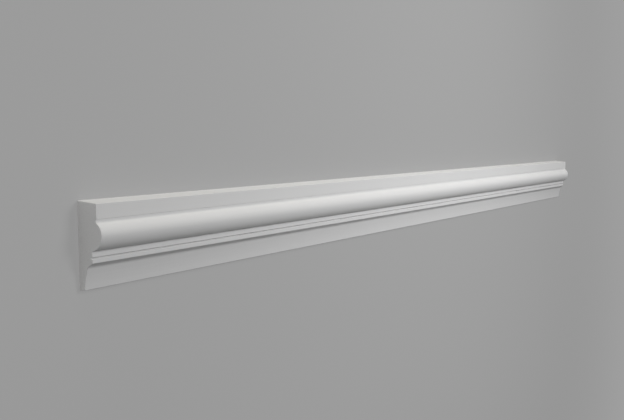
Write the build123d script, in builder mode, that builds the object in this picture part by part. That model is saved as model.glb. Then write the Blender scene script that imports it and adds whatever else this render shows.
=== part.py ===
from build123d import *
from math import atan2, degrees
import os

# A length of wall moulding, in millimetres. It lies on its flat back, as stock lies unheld.
# X runs along the length, +Y towards the upper edge once it is on the wall, +Z out of the wall.
# The origin is the middle of the back face.

LENGTH = 2000.0

# The section is read from the lower edge up. The heights below add up to the overall height.
COVE_HEIGHT = 30.4
LOWER_FILLET_HEIGHT = 5.7
UPPER_FILLET_HEIGHT = 7.4
BEAD_BELOW_NOSE = 17.3
BEAD_ABOVE_NOSE = 17.0
QUIRK_HEIGHT = 1.4
FASCIA_HEIGHT = 17.5
TOP_FALL = 3.3

# Depths are measured out from the back face.
LOWER_EDGE_DEPTH = 7.0
FILLET_DEPTH = 19.3
PROJECTION = 33.2
FASCIA_DEPTH = 26.3

# How far the quirk is sunk behind the fascia, and the hollow by which the bead runs into it.
QUIRK_SINK = 0.9
QUIRK_RADIUS = 4.2

# The fine groove that parts the two fillets.
GROOVE_WIDTH = 2.2
GROOVE_SINK = 2.8

# Under the lower fillet a short soffit slopes back and down. The cove turns out of it through a
# tight arc and then falls in one long arc to the lower edge.
SOFFIT_RUN = 4.7
SOFFIT_FALL = 3.1
COVE_RADIUS = 7.0
COVE_TURN = 39.0

# Softening of the long front edges, as a mould leaves them.
ARRIS_RADIUS = 0.5

# Heights of the steps of the section, from the lower edge.
groove_height = COVE_HEIGHT + LOWER_FILLET_HEIGHT
fillet_head = groove_height + UPPER_FILLET_HEIGHT
nose_height = fillet_head + BEAD_BELOW_NOSE
bead_head = nose_height + BEAD_ABOVE_NOSE
fascia_foot = bead_head + QUIRK_HEIGHT
fascia_head = fascia_foot + FASCIA_HEIGHT
height = fascia_head + TOP_FALL

quirk_depth = FASCIA_DEPTH - QUIRK_SINK
groove_depth = FILLET_DEPTH - GROOVE_SINK

# Above its nose the bead is one arc out and one small arc back, which end parallel to the back.
# Both turn through the same angle, and their radii add up to what the climb and the fall need.
bead_fall = PROJECTION - quirk_depth
bead_turn = degrees(2 * atan2(bead_fall, BEAD_ABOVE_NOSE))
bead_radius = (BEAD_ABOVE_NOSE**2 + bead_fall**2) / (2 * bead_fall) - QUIRK_RADIUS


def at(height_up, depth):
    """A point of the section, from its height above the lower edge and its depth off the back."""
    return (height_up - height / 2, depth)


# The corners that stand out, which the mould rounds off. Inner corners stay sharp.
arrises = [
    at(0, LOWER_EDGE_DEPTH),
    at(COVE_HEIGHT, FILLET_DEPTH),
    at(groove_height - GROOVE_WIDTH / 2, FILLET_DEPTH),
    at(groove_height + GROOVE_WIDTH / 2, FILLET_DEPTH),
    at(fascia_foot, FASCIA_DEPTH),
    at(fascia_head, FASCIA_DEPTH),
]

with BuildPart() as moulding:
    with BuildSketch(Plane.YZ) as section:
        with BuildLine() as outline:
            # From the foot of the lower fillet down to the lower edge.
            soffit = Line(
                at(COVE_HEIGHT, FILLET_DEPTH),
                at(COVE_HEIGHT - SOFFIT_FALL, FILLET_DEPTH - SOFFIT_RUN),
            )
            tight = JernArc(soffit @ 1, tangent=soffit % 1, radius=COVE_RADIUS, arc_size=-COVE_TURN)
            TangentArc(tight @ 1, at(0, LOWER_EDGE_DEPTH), tangent=tight % 1)

            # From the foot of the lower fillet up to the bead.
            Polyline(
                at(COVE_HEIGHT, FILLET_DEPTH),
                at(groove_height - GROOVE_WIDTH / 2, FILLET_DEPTH),
                at(groove_height, groove_depth),
                at(groove_height + GROOVE_WIDTH / 2, FILLET_DEPTH),
                at(fillet_head, FILLET_DEPTH),
            )

            # The bead, below and above its nose, where both arcs run parallel to the back.
            nose = at(nose_height, PROJECTION)
            TangentArc(nose, at(fillet_head, FILLET_DEPTH), tangent=(-1, 0))
            crown = JernArc(nose, tangent=(1, 0), radius=bead_radius, arc_size=-bead_turn)
            hollow = JernArc(crown @ 1, tangent=crown % 1, radius=QUIRK_RADIUS, arc_size=bead_turn)

            # The quirk, the fascia, the sloping top, the back and the lower edge.
            Polyline(
                hollow @ 1,
                at(fascia_foot, quirk_depth),
                at(fascia_foot, FASCIA_DEPTH),
                at(fascia_head, FASCIA_DEPTH),
                at(height, 0),
                at(0, 0),
                at(0, LOWER_EDGE_DEPTH),
            )
        make_face()
        for arris in arrises:
            fillet(section.vertices().sort_by_distance(arris)[0], ARRIS_RADIUS)
    extrude(amount=LENGTH / 2, both=True)

moulding.part.label = "moulding"

os.makedirs("parts", exist_ok=True)
export_step(moulding.part, "parts/moulding.step")

print("overall height", round(height, 2), "projection", PROJECTION, "length", LENGTH)
print("volume in litres", round(moulding.part.volume / 1e6, 3))
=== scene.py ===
# %% [markdown]
# # A length of wall moulding
#
# The object is one straight length of white trim, of the kind that runs along a wall at chair
# height. It lies on its flat back, as a length does before it is glued up. From the upper edge
# down it has a sloping top, a flat fascia, a thin sunk quirk, a bold bead, two fillets with a fine
# groove between them, and a hollow cove that thins out to the lower edge.
#
# The first cell brings in the measured part. Everything made later is placed by its box, in
# metres: X runs along the length, +Y points to the upper edge and +Z out of the wall.

# %% Load the measured part
from math import atan2, ceil, copysign, degrees, radians, sin, tan

import bmesh
import bpy
from mathutils import Matrix, Vector


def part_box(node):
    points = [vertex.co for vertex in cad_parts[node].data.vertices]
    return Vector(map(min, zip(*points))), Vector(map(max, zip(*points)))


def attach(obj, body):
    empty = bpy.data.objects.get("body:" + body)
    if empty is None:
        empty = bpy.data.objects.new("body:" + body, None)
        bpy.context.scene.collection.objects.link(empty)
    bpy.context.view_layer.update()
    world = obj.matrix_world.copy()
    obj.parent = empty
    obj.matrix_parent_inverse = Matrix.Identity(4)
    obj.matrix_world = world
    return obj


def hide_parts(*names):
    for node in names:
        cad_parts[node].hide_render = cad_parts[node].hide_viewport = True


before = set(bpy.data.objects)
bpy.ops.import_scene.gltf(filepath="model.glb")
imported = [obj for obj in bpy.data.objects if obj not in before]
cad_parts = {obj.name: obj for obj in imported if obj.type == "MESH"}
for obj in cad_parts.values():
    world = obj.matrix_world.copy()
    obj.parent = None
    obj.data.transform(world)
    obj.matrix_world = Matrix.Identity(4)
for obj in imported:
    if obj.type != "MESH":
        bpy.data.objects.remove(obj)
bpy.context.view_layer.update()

low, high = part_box("moulding")
length = high.x - low.x
height = high.y - low.y
projection = high.z - low.z
print("moulding, in metres:", round(length, 3), "by", round(height, 4), "by", round(projection, 4))

# %% [markdown]
# ## The sizes of the section
#
# A moulding is drawn once, as a section, and then repeated along its length. So the section is
# worth care: every light line in the finished picture is one of its edges. The heights are counted
# up from the lower edge and the depths out from the back. The fascia takes what height is left and
# the bead reaches the full projection, so the section always fills the part's own box.

# %% Sizes of the section, in metres
COVE_HEIGHT = 0.0304
LOWER_FILLET_HEIGHT = 0.0057
UPPER_FILLET_HEIGHT = 0.0074
BEAD_BELOW_NOSE = 0.0173
BEAD_ABOVE_NOSE = 0.0170
QUIRK_HEIGHT = 0.0014
TOP_FALL = 0.0033

LOWER_EDGE_DEPTH = 0.0070
FILLET_DEPTH = 0.0193
FASCIA_DEPTH = 0.0263
QUIRK_SINK = 0.0009

groove_height = COVE_HEIGHT + LOWER_FILLET_HEIGHT
fillet_head = groove_height + UPPER_FILLET_HEIGHT
nose_height = fillet_head + BEAD_BELOW_NOSE
bead_head = nose_height + BEAD_ABOVE_NOSE
fascia_foot = bead_head + QUIRK_HEIGHT
fascia_head = height - TOP_FALL
quirk_depth = FASCIA_DEPTH - QUIRK_SINK
print("the fascia is", round(fascia_head - fascia_foot, 4), "m high")
print("the nose of the bead is", round(nose_height, 4), "m above the lower edge")

# %% [markdown]
# ## A pencil for the section
#
# The outline could be typed in as a long list of points, but then nobody could read it or change
# it. Here it is drawn with a ruler and a compass. The pencil's tip is one vertex. Extruding it and
# moving the copy draws a straight run. Spinning it round a centre draws an arc, in steps that are
# short enough to look round in a close view.
#
# The pencil also keeps its heading. An arc starts off in that heading, because its centre lies
# square to it, and so two arcs in a row, or a run and an arc, meet without a crease.

# %% Ruler and compass
ARC_STEP = 0.0008
ARC_TURN = radians(6)
RIM = 0.0003

section = bmesh.new()


def at(height_up, depth):
    """The place of a point of the section, a rim's width inside the left end of the moulding."""
    return Vector((low.x + RIM, low.y + height_up, low.z + depth))


class Pencil:
    """Draws in the section's plane. A positive turn goes from +Y towards +Z."""

    ACROSS = Vector((1, 0, 0))

    def __init__(self, place):
        self.tip = section.verts.new(place)
        self.heading = None

    def line_to(self, place):
        """Draws a straight run to a place."""
        self.heading = (place - self.tip.co).normalized()
        self.tip = bmesh.ops.extrude_vert_indiv(section, verts=[self.tip])["verts"][0]
        self.tip.co = place

    def arc(self, radius, turn):
        """Draws an arc off the heading, through an angle in radians."""
        to_centre = self.ACROSS.cross(self.heading) * copysign(radius, turn)
        drawn = bmesh.ops.spin(
            section,
            geom=[self.tip],
            cent=self.tip.co + to_centre,
            axis=self.ACROSS,
            angle=turn,
            steps=ceil(abs(turn) * max(radius / ARC_STEP, 1 / ARC_TURN)),
            use_duplicate=False,
        )
        self.tip = next(item for item in drawn["geom_last"] if isinstance(item, bmesh.types.BMVert))
        self.heading = Matrix.Rotation(turn, 3, self.ACROSS) @ self.heading

    def arc_to(self, place):
        """Draws the one arc off the heading that ends at a place, and returns its radius."""
        chord = place - self.tip.co
        half_turn = atan2(self.ACROSS.dot(self.heading.cross(chord)), self.heading.dot(chord))
        radius = chord.length / (2 * sin(abs(half_turn)))
        self.arc(radius, 2 * half_turn)
        return radius


# %% [markdown]
# ## The cove
#
# The cove is the hollow above the lower edge. It starts under the lower fillet as a short soffit,
# which slopes back and down. From there it turns through a tight arc and falls to the lower edge
# in one long arc, nearly flat. A plain quarter circle would be easier, but it would leave the
# lower half of the cove too deep, and a light that comes from above would shade it quite
# differently.

# %% Draw the cove, from the fillet down to the lower edge
SOFFIT_RUN = 0.0047
SOFFIT_FALL = 0.0031
COVE_RADIUS = 0.0070
COVE_TURN = radians(39)

pencil = Pencil(at(COVE_HEIGHT, FILLET_DEPTH))
start = pencil.tip
pencil.line_to(at(COVE_HEIGHT - SOFFIT_FALL, FILLET_DEPTH - SOFFIT_RUN))
pencil.arc(COVE_RADIUS, -COVE_TURN)
long_radius = pencil.arc_to(at(0, LOWER_EDGE_DEPTH))
print("the cove's long arc has a radius of", round(long_radius, 4), "m")

# %% [markdown]
# ## The back, the top, the fascia and the quirk
#
# These are all straight. The back is the face that is glued to the wall. The top slopes down a
# little towards the front. The quirk is the narrow strip between fascia and bead. It lies only a
# little behind the fascia, and it is there for the thin dark line that it makes.

# %% Draw the straight runs
for height_up, depth in (
    (0, 0),
    (height, 0),
    (fascia_head, FASCIA_DEPTH),
    (fascia_foot, FASCIA_DEPTH),
    (fascia_foot, quirk_depth),
    (bead_head, quirk_depth),
):
    pencil.line_to(at(height_up, depth))
print("outline so far has", len(section.verts), "points")

# %% [markdown]
# ## The bead
#
# The bead leaves the quirk through a small hollow, swells over its crown to the nose, and curls
# back to the upper fillet in a slightly tighter arc. Hollow and crown turn through one and the
# same angle, one outwards and one back, so the bead is parallel to the wall again at its nose.
# Over a climb c and a step f that angle is twice the arc tangent of f / c, and the two radii add
# up to (c² + f²) / 2f.

# %% Draw the bead
QUIRK_RADIUS = 0.0042

bead_step = projection - quirk_depth
bead_turn = 2 * atan2(bead_step, BEAD_ABOVE_NOSE)
crown_radius = (BEAD_ABOVE_NOSE**2 + bead_step**2) / (2 * bead_step) - QUIRK_RADIUS

pencil.arc(QUIRK_RADIUS, -bead_turn)
pencil.arc(crown_radius, bead_turn)
curl_radius = pencil.arc_to(at(fillet_head, FILLET_DEPTH))
print("crown", round(crown_radius, 4), "m and curl", round(curl_radius, 4), "m in radius")

# %% [markdown]
# ## The two fillets
#
# The fillets are flat and share one depth. A fine V groove parts them. After the lower one the
# pencil is back where it started, and one more edge closes the outline.

# %% Draw the fillets and close the outline
GROOVE_WIDTH = 0.0022
GROOVE_SINK = 0.0028

pencil.line_to(at(groove_height + GROOVE_WIDTH / 2, FILLET_DEPTH))
pencil.line_to(at(groove_height, FILLET_DEPTH - GROOVE_SINK))
pencil.line_to(at(groove_height - GROOVE_WIDTH / 2, FILLET_DEPTH))
bmesh.ops.contextual_create(section, geom=[pencil.tip, start])
print("outline closed with", len(section.verts), "points")

# %% [markdown]
# ## From a section to a length
#
# The closed outline is filled with one face, and the face is extruded along X. It starts and stops
# a hair short of both ends, to leave room for their rims. Then the long front corners get the
# small round that a mould leaves, half a millimetre in radius. The cut on each side of a corner is
# that radius times the tangent of half the angle that the corner turns by, so every corner ends up
# with the same round, however blunt or sharp it is.

# %% Extrude the section and round the long corners
ARRIS_RADIUS = 0.0005
ARRIS_SEGMENTS = 5

face = bmesh.ops.contextual_create(section, geom=section.edges[:])["faces"][0]
grown = bmesh.ops.extrude_face_region(section, geom=[face], use_keep_orig=True)["geom"]
far_end = [item for item in grown if isinstance(item, bmesh.types.BMVert)]
bmesh.ops.translate(section, vec=(length - 2 * RIM, 0, 0), verts=far_end)
bmesh.ops.recalc_face_normals(section, faces=section.faces[:])


def long_edge(height_up, depth):
    """The edge that runs the whole length at one point of the section."""
    place = at(height_up, depth)
    lengthwise = [edge for edge in section.edges if edge.calc_length() > length / 2]
    return min(lengthwise, key=lambda edge: ((edge.verts[0].co - place) * Vector((0, 1, 1))).length)


corners = (
    (0, LOWER_EDGE_DEPTH),
    (COVE_HEIGHT, FILLET_DEPTH),
    (groove_height - GROOVE_WIDTH / 2, FILLET_DEPTH),
    (groove_height + GROOVE_WIDTH / 2, FILLET_DEPTH),
    (fascia_foot, FASCIA_DEPTH),
    (fascia_head, FASCIA_DEPTH),
)
for corner in corners:
    edge = long_edge(*corner)
    turn = edge.calc_face_angle()
    bmesh.ops.bevel(
        section,
        geom=[edge],
        offset=ARRIS_RADIUS * tan(turn / 2),
        offset_type="OFFSET",
        affect="EDGES",
        segments=ARRIS_SEGMENTS,
        profile=0.5,
        material=-1,
    )
    print("the corner", round(corner[0], 4), "m up turns by", round(degrees(turn)), "degrees")

# %% [markdown]
# ## Square ends
#
# A length is cut to size with a fine saw, and the cut leaves a crisp rim that catches a thread of
# light. Insetting each end face by a third of a millimetre, and pushing it out as far, gives that
# rim a small bevel. The two ends also get their own material slot, because a sawn face is not as
# smooth as a moulded one. At last the length is divided into short bays, so that no face is a
# sliver two metres long.

# %% Break the rims and divide the length
BAY = 0.05
PRIMED, SAWN = 0, 1
FACES_AN_END = 0.9
ON_THE_CUT = 1e-6

ends = [one for one in section.faces if abs(one.normal.x) > FACES_AN_END]
for end in ends:
    end.material_index = SAWN
rims = bmesh.ops.inset_region(
    section, faces=ends, thickness=RIM, depth=RIM, use_even_offset=True, use_boundary=True
)["faces"]
for rim in rims:
    rim.material_index = PRIMED

bays = round(length / BAY)
for cut in range(1, bays):
    bmesh.ops.bisect_plane(
        section,
        geom=section.verts[:] + section.edges[:] + section.faces[:],
        dist=ON_THE_CUT,
        plane_co=(low.x + cut * length / bays, 0, 0),
        plane_no=(1, 0, 0),
    )
print(bays, "bays,", len(section.faces), "faces,", len(ends), "ends")

# %% [markdown]
# ## The finished piece
#
# The bmesh becomes a mesh object at the origin. Curved runs are shaded smooth and real corners
# stay sharp. A Weighted Normal modifier, at its full weight, lets the big flat faces keep their
# own direction, so the small rounds at their edges don't bend the light across them. The piece
# rides with the part and stands for the plain solid, which is hidden.

# %% Make the object
CREASE = radians(30)
FULL_WEIGHT = 100

mesh = bpy.data.meshes.new("primed_moulding")
section.to_mesh(mesh)
section.free()
mesh.shade_smooth()
mesh.set_sharp_from_angle(angle=CREASE)

moulding = bpy.data.objects.new("primed_moulding", mesh)
bpy.context.scene.collection.objects.link(moulding)
flats = moulding.modifiers.new("flat faces stay flat", "WEIGHTED_NORMAL")
flats.keep_sharp = True
flats.weight = FULL_WEIGHT

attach(moulding, "root")
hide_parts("moulding")
print("piece", moulding.name, "has", len(mesh.polygons), "faces")

# %% [markdown]
# ## Shader sums as plain sums
#
# A finish is mostly arithmetic: take a noise, stretch it, add a little of it to a number. In the
# node editor each sum is a node. The small class below wraps a socket, so that `noise * 0.1 + 0.5`
# adds its two Math nodes by itself, and `1 - noise` works too. Colours don't go through Math
# nodes, which would turn them grey, but through Mix. Every other node comes from one method, which
# takes its type, its settings and what goes into its sockets.

# %% Sockets that can be added and multiplied


class Value:
    """An output socket that takes part in sums."""

    def __init__(self, graph, socket):
        self.graph = graph
        self.socket = socket

    def join(self, operation, first, second):
        """A Math node over two terms, either of which may be a plain number."""
        return self.graph.node("ShaderNodeMath", {"operation": operation}, {0: first, 1: second})

    def __add__(self, other):
        return self.join("ADD", self, other)

    def __radd__(self, other):
        return self.join("ADD", other, self)

    def __sub__(self, other):
        return self.join("SUBTRACT", self, other)

    def __rsub__(self, other):
        return self.join("SUBTRACT", other, self)

    def __mul__(self, other):
        return self.join("MULTIPLY", self, other)

    def __rmul__(self, other):
        return self.join("MULTIPLY", other, self)


class Graph:
    """The node tree of a material or of the world."""

    def __init__(self, owner):
        owner.use_nodes = True
        self.tree = owner.node_tree

    def named(self, name):
        """The first output of a node that is already there."""
        return Value(self, self.tree.nodes[name].outputs[0])

    def node(self, kind, settings=None, sockets=None, output=None):
        """Adds a node: settings first, then its sockets by name or number. Returns one output."""
        made = self.tree.nodes.new(kind)
        for name, value in (settings or {}).items():
            setattr(made, name, value)
        for name, value in (sockets or {}).items():
            self.put(made, name, value)
        shown = [one for one in made.outputs if one.enabled and output in (None, one.name)]
        return Value(self, shown[0])

    def put(self, node, name, value):
        """Links a value into a socket, or writes a plain number or colour there."""
        if isinstance(name, int):
            socket = node.inputs[name]
        else:
            socket = next(one for one in node.inputs if one.enabled and one.name == name)
        if isinstance(value, Value):
            self.tree.links.new(value.socket, socket)
        else:
            socket.default_value = value


class Finish(Graph):
    """One material in the making."""

    def __init__(self, name):
        self.material = bpy.data.materials.new(name)
        super().__init__(self.material)
        self.surface = self.tree.nodes["Principled BSDF"]


# %% [markdown]
# ## The primed face
#
# The moulding comes from the factory with a coat of white primer: matt, very even, and only
# faintly alive. Seen close, the spray leaves a fine stipple, and the mould leaves long faint lines
# that run with the length. A single flat white would look like nothing in particular, so three
# noises work together. A broad one lets the white drift by about one part in a hundred. A long
# thin one, squeezed along the length, gives the lines. A fine one gives the stipple. The last two
# go to a Bump node, whose relief is about a twentieth of a millimetre, so from across a room the
# face is plain white.
#
# The primer's gloss is turned down as well. The photo's deepest hollows stay dark, and a stronger
# sheen would fill them with the grey of the floor.

# %% Primer finish
PRIMER_WHITE = (0.80, 0.80, 0.80, 1)
PRIMER_SHADE = (0.785, 0.785, 0.785, 1)
DRIFTS_A_METRE = 7.0
LINES_A_METRE = (4.0, 500.0, 500.0)
STIPPLES_A_METRE = 900.0
PRIMER_ROUGHNESS = 0.53
PRIMER_RELIEF = 0.0002
LOW_GLOSS = 0.3


def noise(graph, place, scale, detail):
    """A Noise texture's grey value, from 0 to 1."""
    sockets = {"Vector": place, "Scale": scale, "Detail": detail}
    return graph.node("ShaderNodeTexNoise", {}, sockets)


primer = Finish("primer_white")
places = primer.node("ShaderNodeTexCoord", output="Object")
stretched = primer.node("ShaderNodeMapping", {}, {"Vector": places, "Scale": LINES_A_METRE})
broad = noise(primer, places, DRIFTS_A_METRE, 3.0)
draw_lines = noise(primer, stretched, 1.0, 2.0)
stipple = noise(primer, places, STIPPLES_A_METRE, 2.0)

white = primer.node(
    "ShaderNodeMix",
    {"data_type": "RGBA"},
    {"Factor": broad, "A": PRIMER_WHITE, "B": PRIMER_SHADE},
)
relief = draw_lines * 0.4 + stipple * 0.6
skin = primer.node(
    "ShaderNodeBump", {}, {"Height": relief, "Strength": 0.6, "Distance": PRIMER_RELIEF}
)
primer.put(primer.surface, "Base Color", white)
primer.put(primer.surface, "Roughness", broad * 0.08 + stipple * 0.06 + PRIMER_ROUGHNESS)
primer.put(primer.surface, "Specular IOR Level", LOW_GLOSS)
primer.put(primer.surface, "Normal", skin)
moulding.data.materials.append(primer.material)
print("primer finish has", len(primer.tree.nodes), "nodes")

# %% [markdown]
# ## The sawn ends
#
# Under the primer the moulding is a dense, fine foam. The saw opens its cells, so the end is a
# little duller than the face, with pin-prick pores. A Voronoi texture gives a pore to each of its
# cells, a little over a millimetre apart: the nearer to the middle of a cell, the deeper, and the
# darker with painted shade that stands for the shade inside the pore.

# %% Sawn finish
SAWN_WHITE = (0.79, 0.79, 0.79, 1)
# Painted shade: the colour that the pores darken towards, standing for the shade inside them.
PORE_PAINTED_SHADE = (0.62, 0.62, 0.62, 1)
SAWN_ROUGHNESS = 0.75
PORES_A_METRE = 900.0
PORE_FLOOR, PORE_BRIM = 0.12, 0.36
PORE_DEPTH = 0.00015

sawn = Finish("sawn_foam")
places = sawn.node("ShaderNodeTexCoord", output="Object")
cells = sawn.node(
    "ShaderNodeTexVoronoi", {}, {"Vector": places, "Scale": PORES_A_METRE}, output="Distance"
)
pores = sawn.node(
    "ShaderNodeMapRange",
    {},
    {"Value": cells, "From Min": PORE_FLOOR, "From Max": PORE_BRIM, "To Min": 1, "To Max": 0},
)
# Painted shade: the end's colour darkens towards each pore's middle, as shade inside the pore.
sawn_colour_with_painted_pore_shade = sawn.node(
    "ShaderNodeMix",
    {"data_type": "RGBA"},
    {"Factor": pores * 0.6, "A": SAWN_WHITE, "B": PORE_PAINTED_SHADE},
)
pitted = sawn.node(
    "ShaderNodeBump", {}, {"Height": 1 - pores, "Strength": 0.5, "Distance": PORE_DEPTH}
)
sawn.put(sawn.surface, "Base Color", sawn_colour_with_painted_pore_shade)
sawn.put(sawn.surface, "Roughness", SAWN_ROUGHNESS)
sawn.put(sawn.surface, "Specular IOR Level", LOW_GLOSS)
sawn.put(sawn.surface, "Normal", pitted)
moulding.data.materials.append(sawn.material)
print("sawn finish has", len(sawn.tree.nodes), "nodes")

# %% [markdown]
# ## The floor
#
# The moulding lies on a plain pale floor, large enough that its edge is out of sight from any
# side. One square face does. Its paint is quite matt, so that no lamp shines in it.
#
# Lamps close to a small object light a floor unevenly: bright under them, dim farther off. More
# light would even that out, but it would also flatten the moulding. So the floor's material looks
# at which ray asks. To the light that bounces on to the moulding it is ordinary grey paint. To the
# camera, most of what it shows is a plain glow of its own, and a little over two metres from the
# moulding's middle it is all glow. There it runs into the background without a horizon, as a paper
# sweep does in a photo studio, while the floor close by keeps the moulding's shadow.

# %% Floor
FLOOR_SIDE = 40.0
FLOOR_GREY = (0.52, 0.52, 0.52, 1)
FLOOR_ROUGHNESS = 0.9
BACKGROUND = (0.35, 0.35, 0.35, 1)
EVENNESS = 0.72
SWEEP_STARTS = 1.0
SWEEP_ENDS = 2.3


def seen(graph):
    """One where a ray is the camera's, straight or by way of gloss or glass, and zero elsewhere."""
    kinds = ("Is Camera Ray", "Is Glossy Ray", "Is Transmission Ray")
    return sum(graph.node("ShaderNodeLightPath", output=kind) for kind in kinds)


floor_shape = bmesh.new()
bmesh.ops.create_grid(floor_shape, x_segments=1, y_segments=1, size=FLOOR_SIDE / 2)
floor_mesh = bpy.data.meshes.new("floor")
floor_shape.to_mesh(floor_mesh)
floor_shape.free()
floor = bpy.data.objects.new("floor", floor_mesh)
bpy.context.scene.collection.objects.link(floor)

ground = Finish("floor_grey")
ground.put(ground.surface, "Base Color", FLOOR_GREY)
ground.put(ground.surface, "Roughness", FLOOR_ROUGHNESS)
ground.put(ground.surface, "Specular IOR Level", 0.0)
glow = ground.node("ShaderNodeEmission", {}, {"Color": BACKGROUND, "Strength": 1.0})
places = ground.node("ShaderNodeTexCoord", output="Object")
away = ground.node("ShaderNodeVectorMath", {"operation": "LENGTH"}, {0: places}, output="Value")
glow_share = ground.node(
    "ShaderNodeMapRange",
    {"interpolation_type": "SMOOTHSTEP"},
    {
        "Value": away,
        "From Min": SWEEP_STARTS,
        "From Max": SWEEP_ENDS,
        "To Min": EVENNESS,
        "To Max": 1,
    },
)
evened = ground.node(
    "ShaderNodeMixShader",
    {},
    {0: seen(ground) * glow_share, 1: ground.named("Principled BSDF"), 2: glow},
)
ground.put(ground.tree.nodes["Material Output"], "Surface", evened)
floor_mesh.materials.append(ground.material)
print("floor", FLOOR_SIDE, "m square")

# %% [markdown]
# ## Light
#
# White on white is shown by its shades alone, so the light is built up lamp by lamp, each for one
# thing that the photo shows. The key is a large softbox high over the middle, a little beyond the
# upper edge. It lights all the flats, and leaves the underside of the bead and the top of the cove
# darker. Two long low strips, farther out on the same side and a little warmer, brighten the
# sloping top and the crown of the bead, more on the left than on the right. A smaller lamp beyond
# each end lights its sawn face.
#
# The world does the floor's trick once more. A ray from the camera meets the background colour,
# and the moulding itself is lit by a very weak white, which only keeps the deepest hollows from
# closing.

# %% World and lamps
WORLD_STRENGTH = 0.04
WHITE = (1, 1, 1, 1)

world = bpy.data.worlds.new("studio")
sky = Graph(world)
plain = sky.node("ShaderNodeBackground", {}, {"Color": BACKGROUND, "Strength": 1.0})
sky.put(sky.tree.nodes["Background"], "Color", WHITE)
sky.put(sky.tree.nodes["Background"], "Strength", WORLD_STRENGTH)
split = sky.node("ShaderNodeMixShader", {}, {0: seen(sky), 1: sky.named("Background"), 2: plain})
sky.put(sky.tree.nodes["World Output"], "Surface", split)
bpy.context.scene.world = world


def softbox(name, place, target, size, watts, colour=(1, 1, 1)):
    """A rectangular area lamp that faces a target. The camera itself doesn't see it."""
    lamp = bpy.data.lights.new(name, "AREA")
    lamp.shape = "RECTANGLE"
    lamp.size, lamp.size_y = size
    lamp.energy = watts
    lamp.color = colour
    holder = bpy.data.objects.new(name, lamp)
    holder.location = place
    holder.rotation_euler = (Vector(target) - Vector(place)).to_track_quat("-Z", "Y").to_euler()
    holder.visible_camera = False
    bpy.context.scene.collection.objects.link(holder)
    print(name, "of", watts, "W at", place)


WARM = (1, 0.975, 0.90)
STRIP = (1.6, 0.4)
END_BOX = (0.8, 0.8)
softbox("key", (0.12, 0.6, 1.48), target=(0.12, 0, 0), size=(1.0, 1.0), watts=19.8)
softbox("upper_left", (-1.3, 2.6, 0.25), target=(-0.7, 0, 0), size=STRIP, watts=18.4, colour=WARM)
softbox("upper_right", (1.1, 2.6, 0.25), target=(0.7, 0, 0), size=STRIP, watts=9.8, colour=WARM)
softbox("left", (-2.3, 0.3, 0.8), target=(-1.0, 0, 0), size=END_BOX, watts=5.8)
softbox("right", (2.3, 0.3, 0.6), target=(1.0, 0, 0), size=END_BOX, watts=3.3)

# %% [markdown]
# ## The camera
#
# The moulding is seen from beyond its left end, from near enough that the perspective is strong. A
# camera on the wall's side of things would look along the wall. Here the wall is the floor, so the
# same view looks down on the moulding and is turned on its side. With the turning order ZXY the
# three angles read as a photographer would say them: tip, swing about the upright, and roll.

# %% Camera
CAMERA_BEYOND_END = 0.8899
CAMERA_ABOVE_LOWER_EDGE = 0.1566
CAMERA_OFF_BACK = 0.7719
TIP, SWING, ROLL = radians(-3.58), radians(-61.8), radians(-1.06)

view = bpy.data.cameras.new("camera")
view.lens = 60.0
view.sensor_width = 36.0
view.sensor_fit = "HORIZONTAL"
view.clip_end = 100.0
camera = bpy.data.objects.new("camera", view)
camera.location = (
    low.x - CAMERA_BEYOND_END,
    low.y + CAMERA_ABOVE_LOWER_EDGE,
    low.z + CAMERA_OFF_BACK,
)
camera.rotation_mode = "ZXY"
camera.rotation_euler = (TIP, SWING, ROLL)
bpy.context.scene.collection.objects.link(camera)
bpy.context.scene.camera = camera
bpy.context.scene.view_settings.view_transform = "Standard"
print("camera at", [round(step, 4) for step in camera.location])
